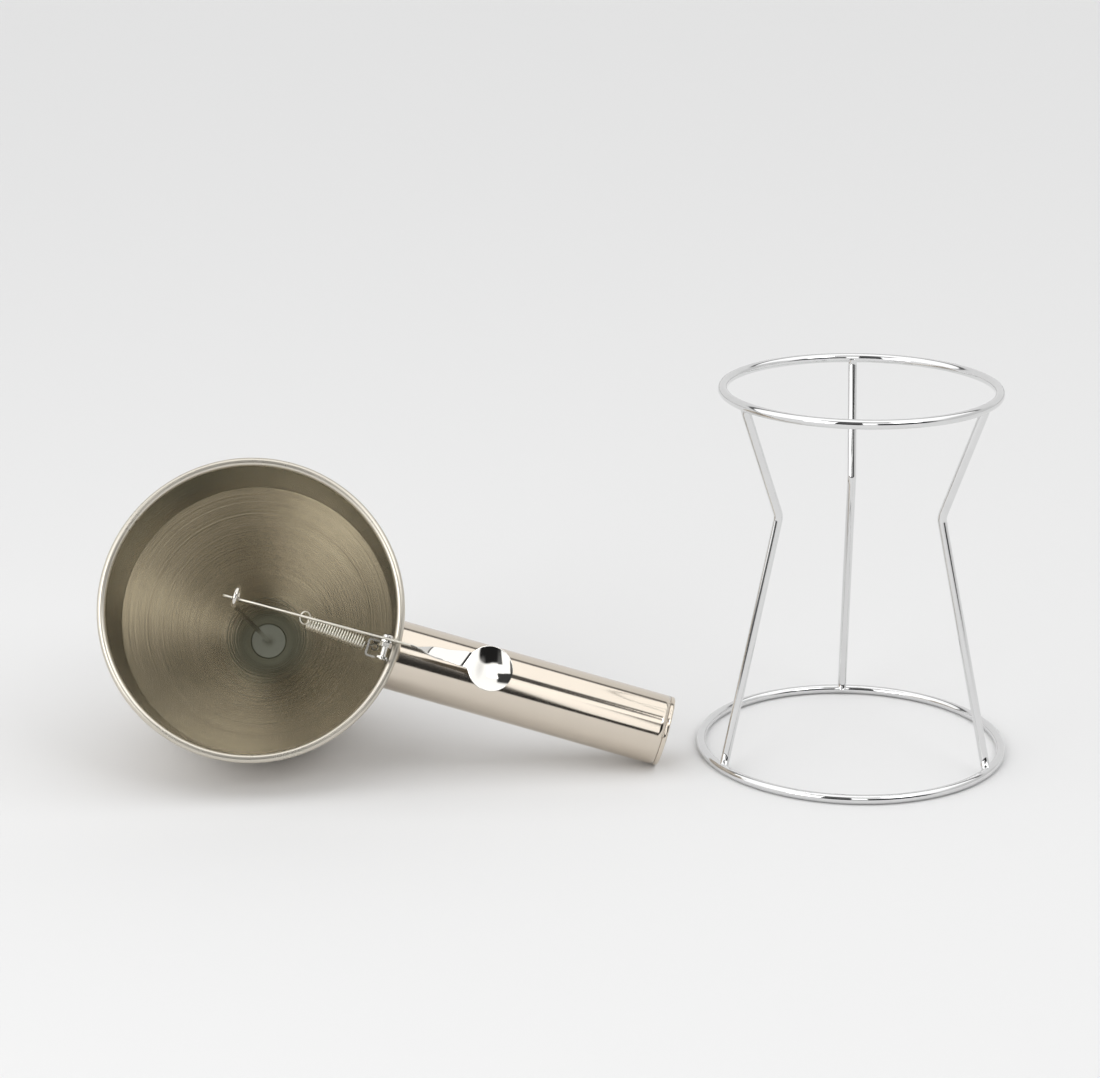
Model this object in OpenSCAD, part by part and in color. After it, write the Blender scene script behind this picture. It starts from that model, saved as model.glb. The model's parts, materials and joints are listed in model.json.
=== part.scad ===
// Fondant funnel with its wire stand.
// The funnel lies on its cone beside the stand, as it is put down on a table.
// The funnel is drawn in its own frame first: the mouth plane is z = 0, +Z leaves the
// mouth, +X runs along the handle. lying() then sets it down on the table.
// Millimetres, +Z up, origin on the table under the middle of the whole set.

/* [Bowl] */
// Outer diameter of the rolled rim
rim_d = 150; // [144:1:158]
// Thickness of the rolled rim
bead_d = 4.2; // [3.6:0.1:4.8]
// Sheet thickness of the bowl
wall = 1.0; // [0.8:0.1:1.2]
// Inner diameter where the upright band meets the cone
shoulder_d = 137.4; // [134:0.2:140]
// Depth of the band below the mouth plane
band_depth = 57.8; // [55:0.2:66]
// Angle between the cone's wall and the axis
cone_angle = 26; // [25:0.5:27]

/* [Spout] */
// Bore of the spout
spout_bore_d = 10.6; // [9:0.2:12]
// Wall of the spout
spout_wall = 1.2; // [1:0.1:1.6]
// Length of the spout below the cone
spout_len = 9.2; // [7:0.2:14]

/* [Handle] */
// Diameter of the handle tube
handle_d = 35.4; // [30:0.2:38]
// Wall of the handle tube
handle_wall = 1.0; // [0.8:0.1:1.5]
// Handle length from the bowl's axis to its end
handle_reach = 214; // [190:1:225]
// Depth of the handle's axis below the mouth plane
handle_drop = 29.4; // [27:0.2:32]
// Thickness of the end cap's visible rim
cap_rim = 2.4; // [2:0.1:4]
// Rounding of the end cap's edge
cap_round = 1.0; // [0.6:0.1:1.4]
// How far the end cap reaches into the tube
cap_plug_len = 8; // [5:0.5:12]
// Size of the weld bead between the handle and the bowl
weld = 1.2; // [0.8:0.1:1.6]

/* [Bracket] */
// Width of the U-shaped bracket
bracket_w = 9.2; // [8.6:0.1:10]
// Sheet thickness of the bracket
bracket_t = 1.0; // [0.8:0.1:1.2]
// Inside radius of the bracket's two bends
bracket_bend = 0.6; // [0.3:0.1:0.9]
// Distance from the bowl's axis to the bracket's web
web_x = 59; // [57:0.2:60.5]
// Height of the bracket below the mouth plane
bracket_drop = 20; // [18:0.5:24]
// Depth of the spring's hole below the mouth plane
anchor_drop = 13; // [11:0.2:15]
// Distance from the bracket's side by the lever to the spring's hole
anchor_inset = 2.6; // [2.4:0.1:4.6]
// Diameter of the spring's hole in the web
anchor_d = 2.0; // [1.6:0.1:2.4]

/* [Pivot] */
// Distance from the bowl's axis to the pivot screw
pivot_x = 68; // [67.2:0.1:68.4]
// Height of the pivot screw above the mouth plane
pivot_z = 7; // [6.8:0.1:8.5]
// Diameter of the pivot screw
screw_d = 3; // [2.5:0.1:3.4]
// How far the screw's end stands out of the bracket
screw_proud = 0.4; // [0.2:0.1:1.5]
// Diameter of the screw's head
screw_head_d = 5.2; // [4.8:0.1:6]
// Thickness of the screw's head
screw_head_t = 1.6; // [1.3:0.1:2]
// Diameter of the washer
washer_d = 6.4; // [6:0.1:7]
// Thickness of the washer
washer_t = 0.4; // [0.3:0.1:0.6]
// Width across the flats of the nut
nut_af = 5.5; // [5:0.1:6]
// Thickness of the nut
nut_t = 2.4; // [2:0.1:2.8]

/* [Lever] */
// Sideways distance from the bowl's axis to the middle of the lever
lever_y = 3.4; // [3.2:0.1:3.7]
// Sheet thickness of the lever
lever_t = 1.0; // [0.8:0.1:1.2]
// Height of the lever's bar
lever_h = 6.2; // [5.6:0.1:6.6]
// Height of the narrow tip that carries the plunger
tip_h = 4; // [3.4:0.1:4.4]
// Distance from the bowl's axis to the tip's end, on the side away from the handle
tip_x = 15.8; // [13:0.2:17]
// How far the inner arm dips below level with the outlet shut
rest_dip = 9; // [8:0.5:10]
// Distance from the pivot to where the bar starts to twist
twist_start = 12.5; // [10:0.5:14]
// Length over which the bar twists
twist_len = 16; // [13:0.5:17]
// How far the bar is twisted, short of a quarter turn
twist_turn = 71; // [65:1:85]
// Upward angle of the bend at the end of the twist
neck_bend = 8; // [4:1:12]
// Length of the flat neck between its two bends
neck_len = 10.6; // [9:0.2:12]
// Width of the neck where the twist ends
neck_w = 6; // [5.4:0.1:6.6]
// Width of the neck at the outer bend
neck_end_w = 8.4; // [7.6:0.2:9.6]
// Downward angle of the outer bend
pad_bend = 28; // [15:1:35]
// Slant of the outer bend's line across the neck
pad_slant = 17; // [0:1:22]
// Distance from the outer bend to the middle of the thumb pad
pad_len = 12.8; // [12:0.2:15]
// Diameter of the thumb pad
pad_d = 22.6; // [20:0.2:24]
// Depth of the pad's dish
pad_dish = 1.6; // [0.8:0.1:2.4]

/* [Plunger] */
// Diameter of the plunger's rod
rod_d = 2.5; // [2:0.1:2.8]
// Distance from the bowl's axis to the rod's eye, on the side away from the handle
eye_x = 9.2; // [8:0.2:10]
// Outer diameter of the rod's eye
eye_d = 11.5; // [10.5:0.1:12.5]
// Diameter of the stopper's top
stopper_d = 18.8; // [17:0.2:20]
// Length of the stopper's pilot inside the spout
pilot_len = 4; // [2:0.5:6]
// How far the rod is set into the stopper
rod_socket = 7; // [5:0.5:9]

/* [Spring] */
// Diameter of the spring's wire
spring_wire_d = 0.8; // [0.6:0.1:0.9]
// Outer diameter of the coil and of its hook on the lever
coil_d = 7; // [6:0.1:7.2]
// Number of turns
coil_turns = 19; // [16:1:21]
// Length of the straight wire between the coil and the bracket
coil_lead = 2.2; // [1.6:0.2:4]
// How far the coil's start lies beside the lever's middle
coil_shift = 1.1; // [0.8:0.1:1.6]
// Distance from the bowl's axis to the hook's hole in the lever
hook_x = 23.8; // [22.6:0.2:25]
// How far the hook's hole lies below the middle of the bar
hook_low = 1.1; // [0.8:0.1:1.3]
// Slope of the hook, down from its hole to the coil
hook_slope = 40; // [32:1:44]

/* [Stand] */
// Diameter of the top ring, wire middle to wire middle
top_ring_d = 135; // [130:0.5:137]
// Diameter of the bottom ring, wire middle to wire middle
bottom_ring_d = 152; // [146:0.5:160]
// Height from ring middle to ring middle
stand_h = 185; // [175:1:200]
// Wire thickness of the rings
ring_wire_d = 4.75; // [4:0.05:5.5]
// Wire thickness of the legs
leg_wire_d = 4.5; // [4:0.05:5]
// Diameter across the legs' bends
waist_d = 91.4; // [88:0.2:100]
// Height of the bends above the bottom ring
waist_h = 126.6; // [118:0.2:132]
// Radius of each bend
bend_r = 8; // [6:0.5:12]
// Turn of the three legs about the stand's axis
leg_turn = -3; // [-15:1:15]

/* [Place] */
// Turn of the lying funnel, seen from above
funnel_yaw = 3.8; // [0:0.2:8]
// Gap between the handle's end and the stand, to the right
stand_gap = 11.8; // [6:0.2:60]
// Distance from the rim's middle to the stand's axis, away from the viewer
stand_dy = 35.2; // [0:0.2:60]

/* [Clearances] */
// Radial play of the lever on the pivot screw
pivot_play = 0.05; // [0.02:0.01:0.1]
// Gap beside the moving lever
side_gap = 0.2; // [0.15:0.05:0.3]
// Gap between the shut stopper and the cone
seat_gap = 0.25; // [0.15:0.05:0.4]
// Gap of parts that are set or threaded into each other
set_gap = 0.02; // [0.01:0.01:0.05]

/* [Hidden] */
$fn = 64;
eps = 0.01;

steel = [0.74, 0.72, 0.68];
chrome = [0.80, 0.81, 0.83];
spring_steel = [0.62, 0.60, 0.55];
stopper_grey = [0.55, 0.58, 0.54];

// Bowl: inner radii, the slope of the band, and the outer corner at the shoulder
bead_r = bead_d / 2;
bead_mid_r = rim_d / 2 - bead_r;
mouth_r = rim_d / 2 - bead_d;
shoulder_r = shoulder_d / 2;
band_slope = (mouth_r - shoulder_r) / band_depth;
cone_slope = tan(cone_angle);
spout_bore_r = spout_bore_d / 2;
spout_r = spout_bore_r + spout_wall;
cone_end = band_depth + (shoulder_r - spout_bore_r) / cone_slope;
tip_depth = cone_end + spout_len;
band_wall_r = wall * sqrt(1 + band_slope * band_slope);
cone_wall_r = wall / cos(cone_angle);
corner_lift = (cone_wall_r - band_wall_r) / (band_slope - cone_slope);
corner_r = shoulder_r + corner_lift * band_slope + band_wall_r;
corner_depth = band_depth - corner_lift;
curl_gap_angle = 65;

function band_in_r(z) = mouth_r + z * band_slope;
function cone_in_r(z) = shoulder_r + (z + band_depth) * cone_slope;

// Handle
handle_r = handle_d / 2;
tube_end = handle_reach - cap_rim;
seam = 0.3;

// Lever plane, bracket and pivot, across the handle (Y)
lever_in_y = lever_y - lever_t / 2;
lever_out_y = lever_y + lever_t / 2;
bracket_out_y = lever_in_y - side_gap;
bracket_mid_y = bracket_out_y - bracket_w / 2;
bracket_low_y = bracket_mid_y - bracket_w / 2;
washer_y = lever_out_y + side_gap / 2;
head_y = washer_y + washer_t;
screw_r = screw_d / 2;
ear_metal = 2;
ear_r = screw_r + ear_metal;
web_top = 0;
bend_out = bracket_t + bracket_bend;

// Lever and plunger heights at rest
arm = pivot_x + eye_x;
eye_z = pivot_z - arm * tan(rest_dip);
rod_r = rod_d / 2;
eye_r = eye_d / 2 - rod_r;
// A ball this much wider than the wire joins a straight wire to a bent one
joint_swell = 0.02;
stopper_r = stopper_d / 2;
stopper_top = -band_depth - (shoulder_r - stopper_r - seat_gap / cos(cone_angle)) / cone_slope;
rod_foot = stopper_top - rod_socket;
rod_lean = atan(eye_x / (eye_z - rod_foot));
rod_len = (eye_z - rod_foot) / cos(rod_lean);

// Spring: from its hook in the lever to its hole in the web
spring_r = spring_wire_d / 2;
coil_r = coil_d / 2 - spring_r;
hook_arm = pivot_x - hook_x;
hook_play = 0.45;
hook_hole_r = spring_r + hook_play;
hook_lead = 0.85;
hook_hole = [hook_x, lever_y, pivot_z - hook_arm * tan(rest_dip) - hook_low / cos(rest_dip)];
hook_way = [cos(hook_slope), 0, -sin(hook_slope)];
coil_a = hook_hole + 2 * coil_r * hook_way + [hook_lead, -coil_shift, -coil_r];
web_hole = [web_x, bracket_out_y - anchor_inset, -anchor_drop];
spring_dir = (web_hole - coil_a) / norm(web_hole - coil_a);
coil_len = norm(web_hole - coil_a) - coil_lead;

// Stand
ring_r = ring_wire_d / 2;
leg_r = leg_wire_d / 2;
low_ring_z = ring_r;
top_ring_z = low_ring_z + stand_h;
weld_r = leg_r + 0.7;

// The lying funnel rests on the shoulder, the spout's tip and the handle's end
tilt = atan((corner_r - spout_r) / (tip_depth - corner_depth));
mouth_z = tip_depth * sin(tilt) + spout_r * cos(tilt);
end_height = mouth_z - handle_drop * sin(tilt) - cap_round;
end_reach = handle_reach - cap_round;
end_r = handle_r - cap_round;
handle_fall = asin(end_height / norm([end_reach, end_r])) - atan(end_r / end_reach);
roll = asin(sin(handle_fall) / cos(tilt));

// The stand's axis, to the right of the rim's middle: beyond the handle's end and the gap
axis_x = sin(funnel_yaw) * cos(tilt);
axis_y = -cos(funnel_yaw) * cos(tilt);
handle_x = cos(funnel_yaw) * cos(roll) + sin(funnel_yaw) * sin(roll) * sin(tilt);
handle_end_x = handle_reach * handle_x - handle_drop * axis_x
               + handle_r * sqrt(1 - handle_x * handle_x);
stand_dx = handle_end_x + stand_gap + bottom_ring_d / 2 + ring_r;

// The set's middle: half way between the rim's far left and the stand's far right,
// and between the stand's near side and the spout's far side
left_x = -bead_mid_r * sqrt(1 - axis_x * axis_x) - bead_r;
right_x = stand_dx + bottom_ring_d / 2 + ring_r;
near_y = min(stand_dy - bottom_ring_d / 2 - ring_r,
             -bead_mid_r * sqrt(1 - axis_y * axis_y) - bead_r);
far_y = max(-tip_depth * axis_y + spout_r * sqrt(1 - axis_y * axis_y),
            stand_dy + bottom_ring_d / 2 + ring_r);
mouth_x = -(left_x + right_x) / 2;
mouth_y = -(near_y + far_y) / 2;

// Sets the funnel down on the table
module lying() {
    translate([mouth_x, mouth_y, mouth_z])
        rotate([0, 0, funnel_yaw])
            rotate([90 - tilt, 0, 0])
                rotate([0, 0, -roll])
                    children();
}

// Sets the stand beside it
module beside() {
    translate([mouth_x + stand_dx, mouth_y + stand_dy, 0])
        children();
}

// Turns a revolved shape so that its axis runs along +X
module along_x() {
    rotate([0, 90, 0])
        children();
}

// Turns a shape drawn up +Z so that it points along +Y
module along_y() {
    rotate([-90, 0, 0])
        children();
}

// Bowl

// Half section of the sheet: band, cone and the curl of the rim
module bowl_section() {
    polygon([
        [mouth_r, 0],
        [shoulder_r, -band_depth],
        [spout_bore_r, -cone_end],
        [spout_bore_r + cone_wall_r, -cone_end],
        [corner_r, -corner_depth],
        [mouth_r + wall, 0]
    ]);
    translate([bead_mid_r, 0])
        difference() {
            circle(r = bead_r);
            circle(r = bead_r - wall);
            // The open end of the curl, under the bead against the band
            polygon([
                [0, 0],
                [-bead_d, 0],
                [-bead_d, -bead_d * 2],
                [-bead_d * 2 * cos(180 - curl_gap_angle - 90), -bead_d * 2]
            ]);
        }
}

module funnel_bowl() {
    color(steel)
        lying()
            rotate_extrude($fn = 128)
                bowl_section();
}

module spout() {
    color(steel)
        lying()
            translate([0, 0, -tip_depth])
                difference() {
                    cylinder(r = spout_r, h = spout_len);
                    translate([0, 0, -eps])
                        cylinder(r = spout_bore_r, h = spout_len + 2 * eps);
                }
}

// The band's outer surface as a solid, grown outwards by more
module band_outside(more) {
    translate([0, 0, -corner_depth])
        cylinder(r1 = corner_r + more, r2 = corner_r + more + corner_depth * band_slope,
                 h = corner_depth, $fn = 128);
}

// The band's inner surface as a solid
module band_inside() {
    translate([0, 0, -band_depth])
        cylinder(r1 = shoulder_r, r2 = mouth_r, h = band_depth, $fn = 128);
}

// Handle

module handle_tube() {
    color(steel)
        lying()
            difference() {
                translate([mouth_r / 2, 0, -handle_drop])
                    along_x()
                        difference() {
                            cylinder(r = handle_r, h = tube_end - mouth_r / 2);
                            translate([0, 0, -eps])
                                cylinder(r = handle_r - handle_wall,
                                         h = tube_end - mouth_r / 2 + 2 * eps);
                        }
                band_outside(0);
            }
}

module handle_weld() {
    color(steel)
        lying()
            difference() {
                intersection() {
                    translate([mouth_r / 2, 0, -handle_drop])
                        along_x()
                            cylinder(r = handle_r + weld, h = mouth_r);
                    band_outside(weld);
                }
                band_outside(0);
                translate([0, 0, -handle_drop])
                    along_x()
                        cylinder(r = handle_r, h = rim_d);
            }
}

// Half section of the end cap, its outer face at y = 0 and its plug below
module cap_section() {
    plug_r = handle_r - handle_wall - set_gap;
    translate([0, -cap_rim + seam])
        square([handle_r, cap_rim - seam - cap_round]);
    translate([0, -cap_round])
        square([handle_r - cap_round, cap_round]);
    translate([handle_r - cap_round, -cap_round])
        intersection() {
            circle(r = cap_round);
            square(cap_round);
        }
    // The seam is a shallow groove between the tube's end and the cap
    translate([0, -cap_rim])
        square([handle_r - seam, seam]);
    translate([plug_r - handle_wall, -cap_rim - cap_plug_len])
        square([handle_wall, cap_plug_len]);
}

module handle_cap() {
    color(steel)
        lying()
            translate([handle_reach, 0, -handle_drop])
                along_x()
                    rotate_extrude()
                        cap_section();
}

// Bracket and pivot

// The bracket seen from the side: the channel below the mouth and the ears for the screw
module bracket_side() {
    translate([web_x, -bracket_drop])
        square([rim_d / 2 - web_x, bracket_drop + web_top]);
    hull() {
        translate([pivot_x, pivot_z])
            circle(r = ear_r);
        translate([pivot_x - ear_r, web_top - 1])
            square([2 * ear_r, 1]);
    }
}

// A block that starts at x with two corners of radius r, seen from above
module rounded_start(x, low_y, high_y, r) {
    translate([x + r, low_y])
        square([rim_d / 2 - x, high_y - low_y]);
    translate([x, low_y + r])
        square([2 * r, high_y - low_y - 2 * r]);
    for (y = [low_y + r, high_y - r])
        translate([x + r, y])
            circle(r = r);
}

// The bracket seen from above: a web and two flanges, bent from one strip
module bracket_top() {
    difference() {
        rounded_start(web_x, bracket_low_y, bracket_out_y, bend_out);
        rounded_start(web_x + bracket_t, bracket_low_y + bracket_t,
                      bracket_out_y - bracket_t, bracket_bend);
    }
}

module pivot_bracket() {
    color(chrome)
        lying()
            difference() {
                intersection() {
                    translate([0, 0, -bracket_drop])
                        linear_extrude(bracket_drop + pivot_z + ear_r)
                            bracket_top();
                    translate([0, bracket_out_y, 0])
                        rotate([90, 0, 0])
                            linear_extrude(bracket_w)
                                bracket_side();
                    // Below the mouth the flanges follow the band, above it they clear the rim
                    union() {
                        band_inside();
                        translate([0, 0, -eps])
                            cylinder(r = mouth_r - side_gap, h = 2 * rim_d, $fn = 128);
                    }
                }
                translate([pivot_x, bracket_low_y - eps, pivot_z])
                    along_y()
                        cylinder(r = screw_r + pivot_play, h = bracket_w + 2 * eps);
                translate([web_x - eps, web_hole[1], -anchor_drop])
                    along_x()
                        cylinder(r = anchor_d / 2, h = bracket_t + 2 * eps);
            }
}

slot_w = 0.7;

module pivot_screw() {
    shank_end = bracket_low_y - screw_proud;
    color(chrome)
        lying() {
            translate([pivot_x, shank_end, pivot_z])
                along_y()
                    cylinder(r = screw_r, h = head_y - shank_end + eps);
            translate([pivot_x, head_y, pivot_z])
                along_y()
                    difference() {
                        intersection() {
                            cylinder(r = screw_head_d / 2, h = screw_head_t);
                            translate([0, 0, screw_head_t - screw_head_d])
                                sphere(r = screw_head_d);
                        }
                        // Driver slot
                        translate([-screw_head_d, -slot_w / 2, screw_head_t - slot_w])
                            cube([2 * screw_head_d, slot_w, screw_head_t]);
                    }
        }
}

module pivot_washer() {
    color(chrome)
        lying()
            translate([pivot_x, washer_y, pivot_z])
                along_y()
                    difference() {
                        cylinder(r = washer_d / 2, h = washer_t);
                        translate([0, 0, -eps])
                            cylinder(r = screw_r + set_gap, h = washer_t + 2 * eps);
                    }
}

module pivot_nut() {
    color(chrome)
        lying()
            translate([pivot_x, bracket_out_y - bracket_t - nut_t, pivot_z])
                along_y()
                    difference() {
                        cylinder(d = nut_af / cos(30), h = nut_t, $fn = 6);
                        translate([0, 0, -eps])
                            cylinder(r = screw_r + set_gap, h = nut_t + 2 * eps);
                    }
}

// Lever: drawn about the pivot with its bar level, then dipped

bar_half = lever_h / 2;
tip_reach = (pivot_x + tip_x) / cos(rest_dip);
narrow_len = 16;
taper_len = 6;
neck_reach = tip_reach - narrow_len;
hook_reach = (hook_arm / cos(rest_dip)) + hook_low * tan(rest_dip);
pad_r = pad_d / 2;
neck_half = neck_w / 2;
neck_end_half = neck_end_w / 2;
twist_end = twist_start + twist_len;
// Half lengths of the two bends, and the flat left between the twist and the first
crease_half = 0.6;
fold_half = 1.2;
crease_gap = 0.5;
crease_at = twist_end + crease_gap + crease_half;
fold_at = crease_at + neck_len;
pad_reach = fold_at + pad_len;
pad_end = pad_reach + pad_r;
// Fillet between neck and pad, and half the width at the pad's very end
pad_blend = 2.2;
end_half = 0.35;
loft_m = 12;

// 0 before a, 1 after b, and a smooth S between them
function ramp(x, a, b) =
    let (t = min(1, max(0, (x - a) / (b - a)))) t * t * (3 - 2 * t);
// Half width of the flat end at a distance x from the pivot: neck, then round pad
function flat_half(x) =
    let (neck = neck_half + (neck_end_half - neck_half) * ramp(x, crease_at, fold_at),
         disc = sqrt(max(0, pad_r * pad_r - (x - pad_reach) * (x - pad_reach))),
         both = (neck + disc + sqrt((neck - disc) * (neck - disc) + pad_blend)) / 2)
    max(end_half, x < pad_reach ? min(pad_r, both) : disc);
// Half width of the strip from the start of the twist on
function strip_half(x) =
    x < twist_end ? bar_half + (neck_half - bar_half) * ramp(x, twist_start, twist_end)
                  : flat_half(x);
// Dish of the pad, lowest in its middle
function dish(x, y) =
    let (d2 = (x - pad_reach) * (x - pad_reach) + y * y)
    -pad_dish * max(0, 1 - d2 / (pad_r * pad_r)) * ramp(x, fold_at, pad_reach);
// Folds a flat sheet beyond a slanting line, as an arc; p is [along, across, up]
function fold(p, at, slant, half, angle) =
    let (q = (p[0] - at) * cos(slant) - p[1] * sin(slant),
         l = (p[0] - at) * sin(slant) + p[1] * cos(slant),
         r = 2 * half / (angle * PI / 180),
         t = angle * min(1, max(0, (q + half) / (2 * half))),
         over = max(0, q - half),
         q2 = q < -half ? q : -half + r * sin(t) + over * cos(t) - p[2] * sin(t),
         u2 = q < -half ? p[2] : r * (1 - cos(t)) + over * sin(t) + p[2] * cos(t))
    [at + q2 * cos(slant) + l * sin(slant), l * cos(slant) - q2 * sin(slant), u2];
// A point of the sheet: station x, v from -1 to 1 across, side is 1 on top and -1 below.
// Stations near the outer bend lean with its line.
function sheet_point(x, v, side) =
    let (lean = tan(pad_slant) * ramp(x, crease_at, fold_at - fold_half)
                * (1 - ramp(x, fold_at + fold_half, pad_reach)),
         s = x + v * strip_half(x) * lean,
         across = v * strip_half(s),
         flat = [s, across, side * lever_t / 2 + dish(s, across)],
         p = fold(fold(flat, fold_at, pad_slant, fold_half, -pad_bend),
                  crease_at, 0, crease_half, neck_bend),
         turn = twist_turn * ramp(p[0], twist_start, twist_end))
    [p[0], p[1] * sin(turn) + p[2] * cos(turn), p[2] * sin(turn) - p[1] * cos(turn)];

function spread(a, b, n) = [for (i = [0:n - 1]) a + (b - a) * i / n];
stations = [each spread(twist_start, crease_at - crease_half, 14),
            each spread(crease_at - crease_half, crease_at + crease_half, 4),
            each spread(crease_at + crease_half, fold_at - fold_half, 5),
            each spread(fold_at - fold_half, fold_at + fold_half, 7),
            for (i = [0:22]) let (from = fold_at + fold_half)
                from + (pad_end - from) * sin(90 * i / 22)];

module pad_loft() {
    row = 2 * (loft_m + 1);
    rows = len(stations);
    points = [for (x = stations)
                  each [for (j = [0:loft_m]) sheet_point(x, 2 * j / loft_m - 1, 1),
                        for (j = [loft_m:-1:0]) sheet_point(x, 2 * j / loft_m - 1, -1)]];
    sides = [for (i = [0:rows - 2], j = [0:row - 1])
                 let (a = i * row + j, b = i * row + (j + 1) % row)
                 each [[a, b, a + row], [b, b + row, a + row]]];
    first = [for (j = [0:loft_m - 1])
                 each [[j + 1, j, row - 1 - j], [row - 2 - j, j + 1, row - 1 - j]]];
    last = [for (f = first) [for (k = [2:-1:0]) (rows - 1) * row + f[k]]];
    polyhedron(points, concat(sides, first, last), convexity = 6);
}

// Side view of the bar: full height to the neck, narrow from there to the round tip
module bar_outline() {
    polygon([
        [twist_start, bar_half],
        [twist_start, -bar_half],
        [-neck_reach, -bar_half],
        [-neck_reach - taper_len, -tip_h / 2],
        [-tip_reach + tip_h / 2, -tip_h / 2],
        [-tip_reach + tip_h / 2, tip_h / 2],
        [-neck_reach - taper_len, tip_h / 2],
        [-neck_reach, bar_half]
    ]);
    translate([-tip_reach + tip_h / 2, 0])
        circle(r = tip_h / 2);
}

module lever() {
    color(steel)
        lying()
            translate([pivot_x, lever_y, pivot_z])
                rotate([0, -rest_dip, 0]) {
                    difference() {
                        translate([0, lever_t / 2, 0])
                            rotate([90, 0, 0])
                                linear_extrude(lever_t)
                                    bar_outline();
                        translate([0, -lever_t, 0])
                            along_y()
                                cylinder(r = screw_r + pivot_play, h = 2 * lever_t);
                        translate([-hook_reach, -lever_t, -hook_low])
                            along_y()
                                cylinder(r = hook_hole_r, h = 2 * lever_t);
                    }
                    pad_loft();
                }
}

// Plunger

// How far round the rod's end is bent to make the eye
eye_turn = 285;

// Places a shape on the rod's line, its foot at the origin and +Z up the rod
module on_rod() {
    translate([0, 0, rod_foot])
        rotate([0, -rod_lean, 0])
            children();
}

module plunger_rod() {
    color(steel)
        lying()
            on_rod() {
                cylinder(r = rod_r, h = rod_len, $fn = 32);
                translate([0, 0, rod_len])
                    sphere(r = rod_r + joint_swell, $fn = 32);
                translate([0, eye_r, rod_len]) {
                    rotate([90, 0, 90])
                        rotate([0, 0, 180 - eye_turn])
                            rotate_extrude(angle = eye_turn)
                                translate([eye_r, 0])
                                    circle(r = rod_r, $fn = 32);
                    rotate([90, 0, 90])
                        rotate([0, 0, 180 - eye_turn])
                            translate([eye_r, 0, 0])
                                sphere(r = rod_r + joint_swell, $fn = 32);
                }
            }
}

// Half section of the stopper: flat top, cone beside the bowl's cone, pilot in the spout
module stopper_section() {
    gap_r = seat_gap / cos(cone_angle);
    pilot_r = spout_bore_r - seat_gap;
    pilot_top = -cone_end + (pilot_r + gap_r - spout_bore_r) / cone_slope;
    polygon([
        [0, stopper_top],
        [stopper_r, stopper_top],
        [pilot_r, pilot_top],
        [pilot_r, pilot_top - pilot_len],
        [pilot_r - 1, pilot_top - pilot_len - 1],
        [0, pilot_top - pilot_len - 1]
    ]);
}

module stopper() {
    color(stopper_grey)
        lying()
            difference() {
                rotate_extrude()
                    stopper_section();
                on_rod()
                    cylinder(r = rod_r + set_gap, h = rod_len);
            }
}

// Spring: one wire, swept along the lever's hook, the coil and the bracket's hook

turn_n = 10;
wire_n = 6;
hook_n = 20;
// The hook's free end and the place where it runs into the coil, round from its hole
hook_from = 520;
hook_to = 215;
coil_from = 80;
// The small loop behind the bracket's web
anchor_r = 1.5;
anchor_gap = 1.1;
anchor_turn = 330;

// Frame of the spring: x along the coil, y towards the lever, z up
spring_y = cross([0, 0, 1], spring_dir) / norm(cross([0, 0, 1], spring_dir));
spring_z = cross(spring_dir, spring_y);
function from_spring(p) = coil_a + p[0] * spring_dir + p[1] * spring_y + p[2] * spring_z;

// A full loop through the lever's hole, sloping down to the coil's first turn
function hook_point(i) =
    let (a = hook_from + (hook_to - hook_from) * i / hook_n)
    hook_hole + coil_r * (1 - cos(a)) * hook_way + [0, coil_r * sin(a), 0];
function coil_point(i) =
    let (t = i / (turn_n * coil_turns), a = coil_from - 360 * coil_turns * t)
    from_spring([coil_len * t, coil_r * cos(a), coil_r * sin(a)]);
// From the last turn in to the coil's axis, through the web, and round behind it
function lead_point(share, out) =
    from_spring([coil_len + coil_lead * share,
                 out * coil_r * cos(coil_from), out * coil_r * sin(coil_from)]);
function anchor_point(i) =
    let (a = 180 - anchor_turn * i / hook_n,
         mid = coil_len + coil_lead + bracket_t + anchor_gap + anchor_r)
    from_spring([mid + anchor_r * cos(a), anchor_r * sin(a), 0]);
spring_path = concat(
    [for (i = [0:hook_n]) hook_point(i)],
    [for (i = [0:turn_n * coil_turns]) coil_point(i)],
    [lead_point(0.35, 0.6), lead_point(0.75, 0.1), lead_point(1, 0)],
    [for (i = [0:hook_n]) anchor_point(i)]
);

function unit(v) = v / norm(v);
path_n = len(spring_path);
path_dir = [for (i = [0:path_n - 1])
                unit(spring_path[min(i + 1, path_n - 1)] - spring_path[max(i - 1, 0)])];
function level(v, d) = unit(v - (v * d) * d);
// A side vector that turns as little as possible from ring to ring
path_side = [for (i = 0, s = level([0, 0, 1], path_dir[0]); i < path_n;
                  i = i + 1, s = level(s, path_dir[min(i, path_n - 1)])) s];

module return_spring() {
    points = [for (i = [0:path_n - 1])
                  let (u = path_side[i], v = cross(path_dir[i], u))
                  each [for (k = [0:wire_n - 1])
                            let (a = 360 * k / wire_n)
                            spring_path[i] + spring_r * (cos(a) * u + sin(a) * v)]];
    sides = [for (i = [0:path_n - 2], k = [0:wire_n - 1])
                 let (a = i * wire_n + k, b = i * wire_n + (k + 1) % wire_n)
                 each [[a, a + wire_n, b], [b, a + wire_n, b + wire_n]]];
    first = [for (k = [0:wire_n - 1]) k];
    last = [for (k = [wire_n - 1:-1:0]) (path_n - 1) * wire_n + k];
    color(spring_steel)
        lying()
            polyhedron(points, concat(sides, [first], [last]), convexity = 10);
}

// Stand

module ring(d, z) {
    color(chrome)
        beside()
            translate([0, 0, z])
                rotate_extrude($fn = 128)
                    translate([d / 2, 0])
                        circle(r = ring_r, $fn = 32);
}

module stand_top_ring() {
    ring(top_ring_d, top_ring_z);
}

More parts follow.
